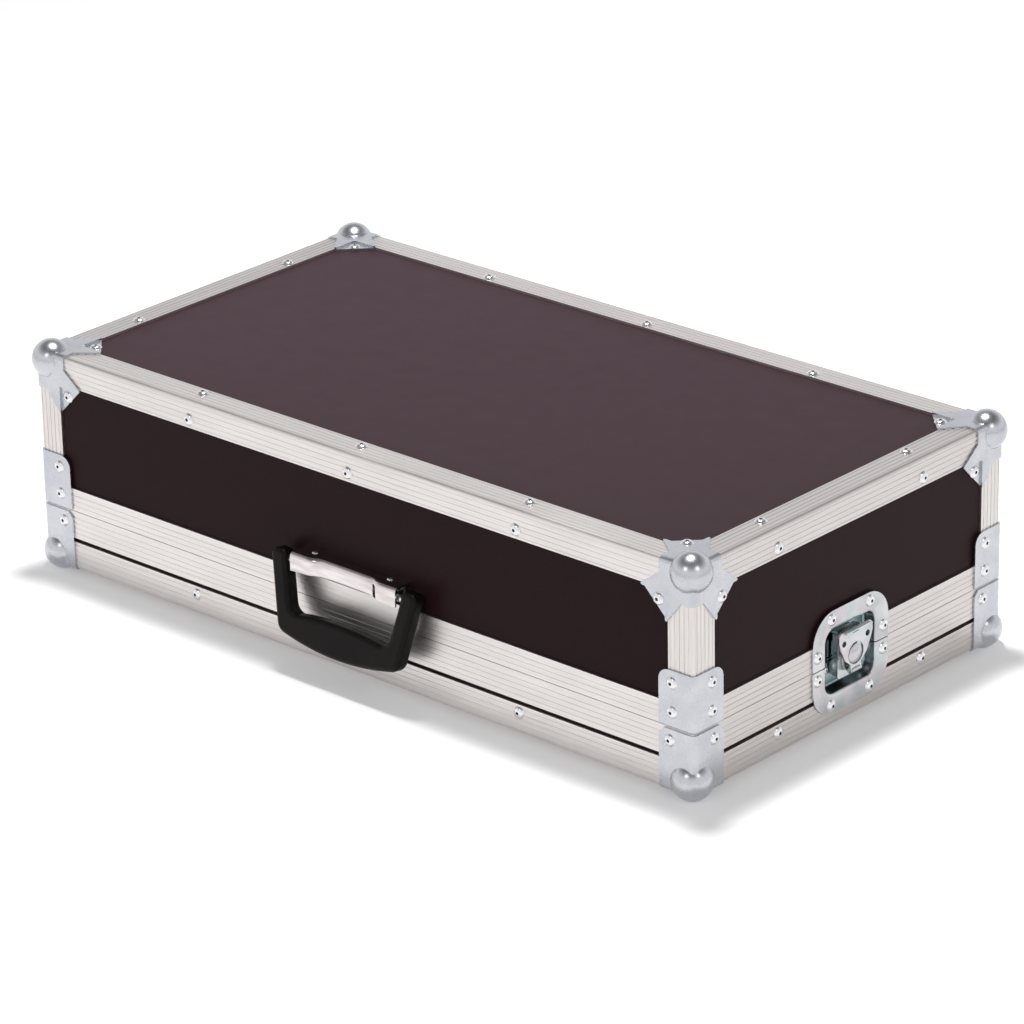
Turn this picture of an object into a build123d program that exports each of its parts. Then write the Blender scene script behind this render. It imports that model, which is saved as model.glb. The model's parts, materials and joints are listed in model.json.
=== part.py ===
from build123d import *
import os
from math import asin, cos, radians, sin, tan

# A lift-off-lid transport case for a small synthesizer: 7 mm boards, aluminium edge
# angles, a tongue-and-groove rim at the seam, pressed steel ball corners, a recessed
# twist latch in each end and a folding carrying handle on the front of the lid.
#
# Millimetres. +X runs along the front to the right, +Y to the back, +Z up. The ground
# is z = 0, and the origin lies under the middle of everything that the case covers.

# Whole case, measured over the aluminium
case_length = 606.6
case_depth = 324.8
tray_height = 45.2
lid_height = 117.0
seam_gap = 0.4

# Boards and aluminium
board = 7.0
profile_wall = 1.6
angle_leg = 21.2
edge_radius = 2.5
groove_count = 5
groove_start = 3.2
groove_pitch = 3.9
groove_width = 1.4
groove_depth = 0.2

# Rims: the two closing profiles that meet at the seam
tray_rim_height = 21.0
lid_rim_height = 17.4
rim_inner_height = 14.0
tray_web = 3.0
lid_web = 6.4
tongue_width = 3.2
tongue_height = 4.0
tongue_clearance = 0.3

# Pressed steel corners
sheet = 1.2
lid_ball_radius = 14.2
lid_ball_inset = 7.2
tray_ball_radius = 14.5
tray_ball_inset = 8.0
ball_flat = 1.4
star_leg = 27.5
star_leg_half = 9.5
star_tip_far = 43.0
star_tip_near = 21.5
flap_gap = 0.2
bracket_leg = 28.5
lid_bracket_top = 40.9
lid_bracket_low = 1.1
lid_bracket_radius = 8.5
tray_bracket_drop = 1.2
tray_bracket_radius = 4.0

# Blind rivets
rivet_head_radius = 4.5
rivet_head_height = 1.7
rivet_shank_radius = 2.0
rivet_eye_radius = 1.2
rivet_board_left = 0.5
small_head_radius = 2.6
small_head_height = 1.0
small_shank_radius = 1.5
small_eye_radius = 0.6
bore_clearance = 0.05
long_rivet_share = 0.25
short_rivet_share = 0.235
angle_rivet_inset = 15.0
bracket_rivet_inset = 17.5
bracket_rivet_heights = (11.3, 31.9)
tray_bracket_rivet_inset = 19.5
tray_bracket_rivet_drop = 9.2
flap_rivet_inset = 29.5

# Foam lining
foam_wall = 10.0
tray_floor_foam = 18.0
lid_roof_foam = 20.0
foam_gap = 0.3
foam_rim_drop = 1.0

# Latch dishes: one recessed twist latch in the middle of each end
latch_forward = 2.0
latch_rise = 1.4
flange_width = 80.0
flange_height = 74.8
flange_radius = 22.0
flange_split = 0.8
recess_width = 53.0
recess_height = 47.0
recess_radius = 9.0
recess_depth = 8.0
recess_taper = 10.0
recess_rim_radius = 1.8
recess_floor_radius = 2.0
pocket_clearance = 0.3
flange_rivets = ((20.4, 31.2), (34.8, 8.5))

# Latch bridge, which carries the spindle and guides the hook
spindle_up = 1.0
bridge_half_width = 10.8
bridge_low = -14.0
bridge_high = 10.0
bridge_top_level = -1.5
bridge_foot_reach = 22.0
bridge_foot_high = -4.0
foot_rivet = (17.0, -9.0)
boss_radius = 6.0
boss_low_level = -5.6

# Latch spindle with its cam and domed head
shaft_radius = 3.5
running_clearance = 0.05
collar_radius = 5.0
collar_gap = 0.2
cam_radius = 6.0
cam_throw = 1.75
cam_clearance = 0.5
plate_gap = 0.3
rotor_radius = 9.0
rotor_up = -3.5
rotor_top_level = 2.2
dome_radius = 7.0
dome_shoulder_level = 5.2
dome_top_level = 7.6

# Latch hook and the keeper tab that it pulls down
hook_half_width = 12.5
hook_low = -15.5
hook_high = 18.3
hook_side_level = -4.4
hook_lip_level = -5.0
hook_corner_radius = 2.0
keeper_half_width = 9.0
keeper_thickness = 1.5
keeper_level = -3.2
keeper_gap = 0.3

# Latch wing, the shield-shaped grip that folds out to turn the spindle
wing_pin_up = -10.5
wing_level = 4.3
wing_outline = (
    (5.6, -8.4), (5.6, -5.7), (11.3, -1.0), (16.5, 9.5), (17.7, 13.0), (17.7, 18.0), (15.2, 20.3),
)
wing_outline_radius = 1.2
wing_hole_radius = 8.0
wing_hole_up = 1.7
wing_eye_radius = 2.2
wing_eye_at = (12.4, 11.8)
wing_lip_half_width = 13.0
wing_lip_height = 2.4
wing_slot_length = 7.0
wing_slot_width = 1.1
wing_slot_up = 17.4
wing_pin_radius = 1.0
knuckle_radius = 1.8
knuckle_half_width = 4.0
ear_width = 1.3
ear_gap = 0.3

# Carrying handle: a chrome cover, the bracket plate under it and a moulded grip
handle_right = 5.0
pivot_above_seam = 28.3
pivot_out = 8.6
handle_tilt = 9.1
grip_half_top = 66.7
grip_half_bottom = 55.9
grip_side_drop = 50.0
grip_drop = 57.5
grip_above_pivot = 7.0
grip_thickness = 12.0
grip_edge_radius = 3.4
grip_corner_radius = 9.0
grip_top_radius = 5.0
opening_half_top = 53.4
opening_half_bottom = 45.2
opening_side_drop = 36.5
opening_mid_drop = 32.5
opening_radius = 8.0
heel_from = 2.0
heel_to = 8.5
heel_inner = 56.0
heel_outer = 63.5
heel_gap = 0.3
cover_half_length = 49.0
cover_end_length = 14.0
cover_blend_length = 14.0
cover_depth = 13.5
cover_waist_depth = 10.2
cover_top_above_pivot = 8.0
cover_height = 13.5
cover_arch = 1.6
cover_edge_radius = 3.4
bracket_plate = 1.5
bracket_half_length = 46.0
bracket_plate_drop = 6.0
bracket_flange_out = 6.5
bracket_rivet_at = 28.0
cover_rivet_at = 35.0
cover_rivet_out = 2.5
pivot_pin_radius = 2.5
pivot_pin_inner = 41.5
pivot_pin_outer = 60.0
pivot_ear_radius = 3.5
pivot_ear_at = 43.5
pivot_ear_thickness = 3.0

# Levels and reaches worked out from the sizes above
half_x = case_length / 2
half_y = case_depth / 2
low_z = tray_ball_radius - tray_ball_inset - ball_flat
seam_z = low_z + tray_height
top_z = seam_z + lid_height
lid_low_z = seam_z + seam_gap
board_in = profile_wall + board
rim_depth = board_in + profile_wall
tongue_in = rim_depth / 2
foam_in = rim_depth + foam_gap
pivot_z = seam_z + pivot_above_seam
hook_top_level = bridge_top_level + plate_gap + sheet
wing_top = max(y for x, y in wing_outline)
tilt = radians(handle_tilt)
grip_reach = pivot_out + grip_drop * sin(tilt) + grip_thickness / 2 * cos(tilt)
ball_reach = lid_ball_radius - lid_ball_inset
middle = Vector(0, (grip_reach - ball_reach) / 2, 0)

ends = ("left", "right")
up = Vector(0, 0, 1)
outward = {
    "front": Vector(0, -1, 0),
    "rear": Vector(0, 1, 0),
    "left": Vector(-1, 0, 0),
    "right": Vector(1, 0, 0),
}
corners = {
    "front_left": (-1, -1),
    "front_right": (1, -1),
    "rear_left": (-1, 1),
    "rear_right": (1, 1),
}

os.makedirs("parts", exist_ok=True)


def keep(piece, name):
    """Label a finished piece and write its file."""
    piece.part.label = name
    export_step(piece.part, f"parts/{name}.step")


def run_length(side):
    """How long a side of the case is."""
    return case_depth if side in ends else case_length


def side_plane(side):
    """Outer face of one side: x along it, y up, z outward, origin on the ground."""
    out = outward[side]
    origin = middle + Vector(out.X * half_x, out.Y * half_y, 0)
    return Plane(origin=origin, x_dir=up.cross(out), z_dir=out)


def section_plane(side):
    """Across one side: x inward from the outer face, y up, origin on the ground."""
    face = side_plane(side)
    return Plane(origin=face.origin, x_dir=-face.z_dir, z_dir=face.x_dir)


def latch_plane(end):
    """Outer face of an end at the latch: x across, y up from its middle, z outward."""
    face = side_plane(end)
    origin = face.origin + Vector(0, -latch_forward, seam_z + latch_rise)
    return Plane(origin=origin, x_dir=face.x_dir, z_dir=face.z_dir)


def corner_tip(sx, sy, z):
    """Where the outer faces would meet at a corner, at a height z."""
    return middle + Vector(sx * half_x, sy * half_y, z)


def upright_faces(sx, sy, z):
    """The two side faces at a corner: x or y runs away from the corner, z outward."""
    front = side_plane("front" if sy < 0 else "rear")
    end = side_plane("left" if sx < 0 else "right")
    tip = corner_tip(sx, sy, z)
    return [Plane(origin=tip, x_dir=face.x_dir, z_dir=face.z_dir) for face in (front, end)]


def away(face, sx, sy):
    """Whether x on a side face runs away from the corner (1) or towards it (-1)."""
    return 1 if face.x_dir.dot(Vector(-sx, -sy, 0)) > 0 else -1


def corner_faces(sx, sy, z, z_way):
    """The three faces at a corner, each with the signs of x and y that lead away from it."""
    found = [(face, away(face, sx, sy), -z_way) for face in upright_faces(sx, sy, z)]
    flat = Plane(origin=corner_tip(sx, sy, z), x_dir=(1, 0, 0), z_dir=up * z_way)
    return found + [(flat, -sx, -sy * z_way)]


# The outer form of the aluminium, with its rounded edges
with BuildPart() as case_block:
    with Locations(middle + up * low_z):
        Box(case_length, case_depth, top_z - low_z, align=(Align.CENTER, Align.CENTER, Align.MIN))
    fillet(case_block.edges(), edge_radius)


# Rivet places: a plane on the surface under each head, and how far out that surface
# lies from the outer face of the aluminium
def on_face(face, x, y, out):
    """A rivet at x, y on a face, through a sheet whose outer surface lies out."""
    place = face.offset(out)
    return Plane(origin=place.from_local_coords((x, y, 0)), z_dir=face.z_dir), out


def angle_rivets(z, z_way):
    """Rivets through both legs of the four angles round the top or the bottom."""
    found = []
    for side in outward:
        face = side_plane(side)
        if side in ends:
            places = [-short_rivet_share * case_depth, short_rivet_share * case_depth]
        else:
            places = [-long_rivet_share * case_length, 0, long_rivet_share * case_length]
        for x in places:
            found.append(on_face(face, x, z - z_way * angle_rivet_inset, 0))
            foot = face.from_local_coords((x, z, -angle_rivet_inset))
            found.append((Plane(origin=foot, z_dir=up * z_way), 0))
    return found


def latch_rivets(way):
    """Rivets round the half of each latch flange above (1) or below (-1) the seam."""
    found = []
    for end in ends:
        for hand in (-1, 1):
            for across, rise in flange_rivets:
                found.append(on_face(latch_plane(end), hand * across, way * rise, sheet))
    return found


tray_rivets = angle_rivets(low_z, -1) + latch_rivets(-1)
lid_rivets = angle_rivets(top_z, 1) + latch_rivets(1)
flap_level = sheet - profile_wall
for sx, sy in corners.values():
    for face in upright_faces(sx, sy, 0):
        way = away(face, sx, sy)
        lid_rivets.append(on_face(face, way * flap_rivet_inset, top_z - flap_rivet_inset, flap_level))
        for rise in bracket_rivet_heights:
            lid_rivets.append(on_face(face, way * bracket_rivet_inset, seam_z + rise, sheet))
        drop = seam_z - tray_bracket_rivet_drop
        tray_rivets.append(on_face(face, way * tray_bracket_rivet_inset, drop, sheet))
    inward = Vector(-sx, -sy, 0)
    roof = corner_tip(sx, sy, top_z + flap_level) + inward * flap_rivet_inset
    lid_rivets.append((Plane(origin=roof, z_dir=up), flap_level))
    floor = corner_tip(sx, sy, low_z - sheet) + inward * tray_bracket_rivet_inset
    tray_rivets.append((Plane(origin=floor, z_dir=-up), sheet))
for hand in (-1, 1):
    across = handle_right + hand * bracket_rivet_at
    lid_rivets.append(on_face(side_plane("front"), across, pivot_z, bracket_plate - profile_wall))


def grip_depth(out):
    """How far a board rivet's shank runs in from the surface under its head."""
    return out + board_in - rivet_board_left


def drill(piece, rivets):
    """Cut the holes for those rivets that pass through this piece."""
    room = piece.part.bounding_box()
    for place, out in rivets:
        centre = place.origin - place.z_dir * (grip_depth(out) / 2)
        reach = grip_depth(out) / 2 + rivet_shank_radius
        apart = max(
            room.min.X - centre.X, centre.X - room.max.X,
            room.min.Y - centre.Y, centre.Y - room.max.Y,
            room.min.Z - centre.Z, centre.Z - room.max.Z,
        )
        if apart < reach:
            with BuildSketch(place) as hole:
                Circle(rivet_shank_radius + bore_clearance)
            extrude(hole.sketch, amount=-grip_depth(out), mode=Mode.SUBTRACT)


def rivet(head_radius, head_height, eye_radius, shank_radius, depth):
    """A blind rivet: domed head with the eye left by its mandrel, and its shank."""
    with BuildPart() as piece:
        with BuildSketch(Plane.XZ):
            with BuildLine():
                Polyline(
                    (eye_radius, head_height), (eye_radius, 0), (0, 0), (0, -depth),
                    (shank_radius, -depth), (shank_radius, 0), (head_radius, 0),
                )
                ThreePointArc(
                    (head_radius, 0),
                    (0.75 * head_radius, 0.7 * head_height),
                    (eye_radius, head_height),
                )
            make_face()
        revolve(axis=Axis.Z)
    return piece.part


def board_rivets(rivets):
    """All the board rivets of one body, each a solid of its own."""
    sizes = (rivet_head_radius, rivet_head_height, rivet_eye_radius, rivet_shank_radius)
    lengths = {grip_depth(out) for place, out in rivets}
    kinds = {length: rivet(*sizes, length) for length in lengths}
    with BuildPart() as group:
        for place, out in rivets:
            with Locations(place.location):
                add(kinds[grip_depth(out)])
    return group


def small_rivets(places, depth):
    """A group of small rivets, each a solid of its own."""
    kind = rivet(small_head_radius, small_head_height, small_eye_radius, small_shank_radius, depth)
    with BuildPart() as group:
        for place in places:
            with Locations(place.location):
                add(kind)
    return group


def pocket(end):
    """Cut the hole through rim and board that a latch dish sits in."""
    grow = 2 * (sheet + pocket_clearance)
    with BuildSketch(latch_plane(end)) as hole:
        RectangleRounded(recess_width + grow, recess_height + grow, recess_radius)
    extrude(hole.sketch, amount=-2 * rim_depth, mode=Mode.SUBTRACT)


# Boards
def upright_board(side, low, high, rivets):
    """An upright board; the ends fit between the front and the rear."""
    run = run_length(side) - 2 * profile_wall
    if side in ends:
        run -= 2 * board
    with BuildPart() as panel:
        with BuildSketch(side_plane(side).offset(-profile_wall)):
            with Locations((0, (low + high) / 2)):
                Rectangle(run, high - low)
        extrude(amount=-board)
        if side in ends:
            pocket(side)
        drill(panel, rivets)
    return panel


def flat_board(low, rivets):
    """The floor or the roof board, over the edges of the upright boards."""
    with BuildPart() as panel:
        with BuildSketch(Plane(origin=middle + up * low)):
            Rectangle(case_length - 2 * profile_wall, case_depth - 2 * profile_wall)
        extrude(amount=board)
        drill(panel, rivets)
    return panel


keep(flat_board(low_z + profile_wall, tray_rivets), "tray_floor_panel")
keep(flat_board(top_z - board_in, lid_rivets), "lid_top_panel")
for side in outward:
    tray_panel = upright_board(side, low_z + board_in, seam_z - tray_web, tray_rivets)
    keep(tray_panel, f"tray_{side}_panel")
    lid_panel = upright_board(side, lid_low_z + lid_web, top_z - board_in, lid_rivets)
    keep(lid_panel, f"lid_{side}_panel")


# Aluminium profiles
def angle_outline():
    """The L of an edge angle, with both legs running away from the corner."""
    wall = profile_wall
    leg = angle_leg
    return [(0, 0), (leg, 0), (leg, wall), (wall, wall), (wall, leg), (0, leg)]


def angle_grooves():
    """Where the fine grooves run on a leg, measured from the corner."""
    return [groove_start + groove_pitch * i for i in range(groove_count)]


def mitred_length(side, outline, grooves, rivets):
    """A profile along one side, mitred at both corners. Grooves are centre, width, height."""
    half_run = run_length(side) / 2
    face = side_plane(side)
    slant = 2 * angle_leg
    with BuildPart() as length:
        with BuildSketch(section_plane(side)):
            Polygon(*outline, align=None)
            for centre, width, height in grooves:
                with Locations(centre):
                    Rectangle(width, height, mode=Mode.SUBTRACT)
        extrude(amount=half_run, both=True)
        with BuildSketch(Plane(origin=face.origin, x_dir=face.x_dir, z_dir=up)):
            Polygon(
                (-half_run, 0), (half_run, 0), (half_run - slant, slant), (slant - half_run, slant),
                align=None,
            )
        extrude(amount=2 * top_z, mode=Mode.INTERSECT)
        add(case_block.part, mode=Mode.INTERSECT)
        if side in ends:
            pocket(side)
        drill(length, rivets)
    return length


def edge_angle(side, z, z_way, rivets):
    """The angle along a top (z_way 1) or bottom (-1) edge."""
    outline = [(x, z - z_way * y) for x, y in angle_outline()]
    grooves = []
    for place in angle_grooves():
        grooves.append(((0, z - z_way * place), 2 * groove_depth, groove_width))
        grooves.append(((place, z), groove_width, 2 * groove_depth))
    return mitred_length(side, outline, grooves, rivets)


def rim_grooves(low, high):
    """Grooves along the outer leg of a rim, evenly spaced between its edges."""
    count = max(int((high - low) / groove_pitch) - 1, 1)
    first = (low + high) / 2 - groove_pitch * (count - 1) / 2
    return [((0, first + groove_pitch * i), 2 * groove_depth, groove_width) for i in range(count)]


def tray_rim(side):
    """The lower closing profile: it holds the board edge and carries the tongue."""
    wall = profile_wall
    near = tongue_in - tongue_width / 2
    far = tongue_in + tongue_width / 2
    rim_low = seam_z - tray_rim_height
    inner_low = seam_z - rim_inner_height
    outline = [
        (0, rim_low), (wall, rim_low), (wall, seam_z - tray_web), (board_in, seam_z - tray_web),
        (board_in, inner_low), (rim_depth, inner_low), (rim_depth, seam_z), (far, seam_z),
        (far, seam_z + tongue_height), (near, seam_z + tongue_height), (near, seam_z), (0, seam_z),
    ]
    return mitred_length(side, outline, rim_grooves(rim_low, seam_z), tray_rivets)


def lid_rim(side):
    """The upper closing profile: it holds the board edge and has the groove."""
    wall = profile_wall
    near = tongue_in - tongue_width / 2 - tongue_clearance
    far = tongue_in + tongue_width / 2 + tongue_clearance
    groove_top = seam_z + tongue_height + tongue_clearance
    rim_top = seam_z + lid_rim_height
    web_top = lid_low_z + lid_web
    inner_top = lid_low_z + rim_inner_height
    outline = [
        (0, lid_low_z), (near, lid_low_z), (near, groove_top), (far, groove_top), (far, lid_low_z),
        (rim_depth, lid_low_z), (rim_depth, inner_top), (board_in, inner_top), (board_in, web_top),
        (wall, web_top), (wall, rim_top), (0, rim_top),
    ]
    return mitred_length(side, outline, rim_grooves(lid_low_z, rim_top), lid_rivets)


for side in outward:
    keep(edge_angle(side, low_z, -1, tray_rivets), f"tray_{side}_edge")
    keep(edge_angle(side, top_z, 1, lid_rivets), f"lid_{side}_edge")
    keep(tray_rim(side), f"tray_{side}_rim")
    keep(lid_rim(side), f"lid_{side}_rim")

# The four upright angles of the lid, between its rim and its top angles
upright_low = seam_z + lid_rim_height
upright_high = top_z - angle_leg
with BuildPart() as lid_uprights:
    for sx, sy in corners.values():
        with BuildSketch(Plane(origin=corner_tip(sx, sy, upright_low))):
            Polygon(*[(-sx * x, -sy * y) for x, y in angle_outline()], align=None)
            for place in angle_grooves():
                with Locations((-sx * place, 0)):
                    Rectangle(groove_width, 2 * groove_depth, mode=Mode.SUBTRACT)
                with Locations((0, -sy * place)):
                    Rectangle(2 * groove_depth, groove_width, mode=Mode.SUBTRACT)
    extrude(amount=upright_high - upright_low)
    add(case_block.part, mode=Mode.INTERSECT)
    drill(lid_uprights, lid_rivets)
keep(lid_uprights, "lid_uprights")


# Ball corners and brackets
def signed(outline, fx, fy):
    """An outline turned to run away from its corner on a face."""
    return [(fx * x, fy * y) for x, y in outline]


star = [
    (-sheet, -sheet), (star_leg, -sheet), (star_leg, star_leg_half), (star_tip_far, star_tip_near),
    (star_tip_near, star_tip_far), (star_leg_half, star_leg), (-sheet, star_leg),
]
far_corner = star_tip_far + sheet


def lid_corner(sx, sy):
    """A star-shaped corner with a hollow ball; its three flaps step down on to the boards."""
    tip = corner_tip(sx, sy, top_z)
    inward = Vector(-sx, -sy, -1)
    faces = corner_faces(sx, sy, top_z, 1)
    flap_from = angle_leg + flap_gap
    with BuildPart() as cut:
        for face, fx, fy in faces:
            with BuildSketch(face.offset(-2 * sheet)):
                Polygon(*signed(star, fx, fy), align=None)
            extrude(amount=3 * sheet)
    with BuildPart() as corner:
        with Locations(tip - inward * sheet + inward * (far_corner / 2)):
            Box(far_corner, far_corner, far_corner)
        fillet(corner.edges().sort_by_distance(tip - inward * sheet)[:3], edge_radius + sheet)
        add(cut.part, mode=Mode.INTERSECT)
        with Locations(tip + inward * lid_ball_inset):
            Sphere(lid_ball_radius)
            Sphere(lid_ball_radius - sheet, mode=Mode.SUBTRACT)
        add(case_block.part, mode=Mode.SUBTRACT)
        for face, fx, fy in faces:
            with BuildSketch(face.offset(-profile_wall)):
                Polygon(*signed(star, fx, fy), align=None)
                with Locations((fx * (flap_from + far_corner / 2), fy * (flap_from + far_corner / 2))):
                    Rectangle(far_corner, far_corner, mode=Mode.INTERSECT)
            extrude(amount=profile_wall + sheet)
            step = flap_from + sheet + far_corner / 2
            with BuildSketch(face.offset(flap_level)):
                with Locations((fx * step, fy * step)):
                    Rectangle(far_corner, far_corner)
            extrude(amount=2 * sheet, mode=Mode.SUBTRACT)
        drill(corner, lid_rivets)
    return corner


def tray_corner(sx, sy):
    """A bracket round a lower corner, with a ball whose foot is worn flat on the ground."""
    tip = corner_tip(sx, sy, low_z)
    inward = Vector(-sx, -sy, 1)
    height = tray_height - tray_bracket_drop
    cut_off = tray_bracket_radius
    side_leg = [
        (-sheet, -sheet), (bracket_leg, -sheet), (bracket_leg, height - cut_off),
        (bracket_leg - cut_off, height), (-sheet, height),
    ]
    foot_leg = [
        (-sheet, -sheet), (bracket_leg, -sheet), (bracket_leg, bracket_leg - 2 * cut_off),
        (bracket_leg - 2 * cut_off, bracket_leg), (-sheet, bracket_leg),
    ]
    with BuildPart() as cut:
        for (face, fx, fy), leg in zip(corner_faces(sx, sy, low_z, -1), (side_leg, side_leg, foot_leg)):
            with BuildSketch(face.offset(-2 * sheet)):
                Polygon(*signed(leg, fx, fy), align=None)
            extrude(amount=3 * sheet)
    size = height + sheet
    with BuildPart() as corner:
        with Locations(tip - inward * sheet + inward * (size / 2)):
            Box(size, size, size)
        fillet(corner.edges().sort_by_distance(tip - inward * sheet)[:3], edge_radius + sheet)
        add(cut.part, mode=Mode.INTERSECT)
        with Locations(tip + inward * tray_ball_inset):
            Sphere(tray_ball_radius)
            Sphere(tray_ball_radius - sheet, mode=Mode.SUBTRACT)
        add(case_block.part, mode=Mode.SUBTRACT)
        split(bisect_by=Plane.XY, keep=Keep.TOP)
        drill(corner, tray_rivets)
    return corner


for name, (sx, sy) in corners.items():
    keep(lid_corner(sx, sy), f"lid_{name}_corner")
    keep(tray_corner(sx, sy), f"tray_{name}_corner")


def lid_bracket(sx, sy):
    """A bracket round a lower corner of the lid, rounded at its upper free corners."""
    low = seam_z + lid_bracket_low
    high = seam_z + lid_bracket_top
    ridge = corner_tip(sx, sy, low) + Vector(sx * sheet, sy * sheet, 0)
    reach = bracket_leg + sheet
    with BuildPart() as legs:
        with Locations(ridge - Vector(sx * reach / 2, sy * reach / 2, 0)):
            Box(reach, reach, high - low, align=(Align.CENTER, Align.CENTER, Align.MIN))
        fillet(legs.edges().filter_by(Axis.Z).sort_by_distance(ridge)[0], edge_radius + sheet)
        add(case_block.part, mode=Mode.SUBTRACT)
        free_ends = legs.edges().filter_by(lambda edge: abs(edge.length - sheet) < seam_gap)
        free_ends = free_ends.filter_by(lambda edge: edge.center().Z > high - seam_gap)
        fillet(free_ends, lid_bracket_radius)
        drill(legs, lid_rivets)
    return legs.part


bracket_parts = [lid_bracket(sx, sy) for sx, sy in corners.values()]
with BuildPart() as lid_brackets:
    for bracket in bracket_parts:
        add(bracket)
keep(lid_brackets, "lid_brackets")


# Latch dishes
def recess(face, level, grow):
    """The outline of the tapered recess at one level, grown by a wall."""
    narrowing = tan(radians(recess_taper)) * (sheet - level)
    width = recess_width - 2 * narrowing + 2 * grow
    height = recess_height - 2 * narrowing + 2 * grow
    with BuildSketch(face.offset(level)) as outline:
        RectangleRounded(width, height, recess_radius - narrowing + grow)
    return outline.sketch


def latch_dish(end, way):
    """The pressed dish half above (1) or below (-1) the seam; the upper one has the keeper."""
    face = latch_plane(end)
    with BuildPart() as dish:
        with BuildSketch(face):
            RectangleRounded(flange_width, flange_height, flange_radius)
        extrude(amount=sheet)
        loft([recess(face, 0, sheet), recess(face, -recess_depth - sheet, sheet)])
        loft([recess(face, sheet, 0), recess(face, -recess_depth, 0)], mode=Mode.SUBTRACT)
        levels = dish.faces().sort_by(Axis(face.origin, face.z_dir))
        rim = levels[-1].inner_wires()[0].edges()
        fillet(rim, recess_rim_radius)
        floor = dish.faces().filter_by(Axis(face.origin, face.z_dir)).sort_by(Axis(face.origin, face.z_dir))
        fillet(floor[1].edges(), recess_floor_radius)
        with BuildSketch(face):
            with Locations((0, way * (flange_split + flange_height) / 2 - latch_rise)):
                Rectangle(flange_width, flange_height)
        extrude(amount=2 * recess_depth, both=True, mode=Mode.INTERSECT)
        if way > 0:
            keeper_up = hook_high - sheet - keeper_gap - keeper_thickness / 2
            with BuildSketch(face.offset(-recess_depth)):
                with Locations((0, keeper_up)):
                    Rectangle(2 * keeper_half_width, keeper_thickness)
            extrude(amount=recess_depth + keeper_level)
        else:
            foot_holes(face)
        drill(dish, lid_rivets if way > 0 else tray_rivets)
    return dish


def foot_places(face):
    """Where the bridge feet are riveted to the dish."""
    across, rise = foot_rivet
    foot = face.offset(sheet - recess_depth)
    points = [foot.from_local_coords((hand * across, rise, 0)) for hand in (-1, 1)]
    return [Plane(origin=point, z_dir=face.z_dir) for point in points]


def foot_holes(face):
    """Cut the two holes for the rivets of the bridge feet."""
    for place in foot_places(face):
        with BuildSketch(place) as hole:
            Circle(small_shank_radius + bore_clearance)
        extrude(hole.sketch, amount=-3 * sheet, mode=Mode.SUBTRACT)


def latch_bridge(end):
    """A hat-shaped bridge on the lower dish: it holds the spindle and guides the hook."""
    face = latch_plane(end)
    run = bridge_high - bridge_low
    centre_up = (bridge_high + bridge_low) / 2
    foot_run = bridge_foot_high - bridge_low
    foot_up = (bridge_foot_high + bridge_low) / 2
    with BuildPart() as bridge:
        with BuildSketch(face.offset(bridge_top_level)):
            with Locations((0, centre_up)):
                Rectangle(2 * bridge_half_width, run)
        extrude(amount=-(bridge_top_level + recess_depth - sheet))
        with BuildSketch(face.offset(-recess_depth)):
            with Locations((0, foot_up)):
                Rectangle(2 * bridge_foot_reach, foot_run)
        extrude(amount=sheet)
        with BuildSketch(face.offset(bridge_top_level - sheet)):
            with Locations((0, centre_up)):
                Rectangle(2 * (bridge_half_width - sheet), run)
        extrude(amount=-recess_depth, mode=Mode.SUBTRACT)
        with BuildSketch(face.offset(bridge_top_level - sheet)):
            with Locations((0, spindle_up)):
                Circle(boss_radius)
        extrude(amount=boss_low_level - bridge_top_level + sheet)
        with BuildSketch(face):
            with Locations((0, spindle_up)):
                Circle(shaft_radius + running_clearance)
        extrude(amount=-2 * recess_depth, mode=Mode.SUBTRACT)
        foot_holes(face)
    return bridge


def across_latch(face):
    """Through the middle of a latch: x up, y outward."""
    return Plane(origin=face.origin, x_dir=face.y_dir, z_dir=face.x_dir)


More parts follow.
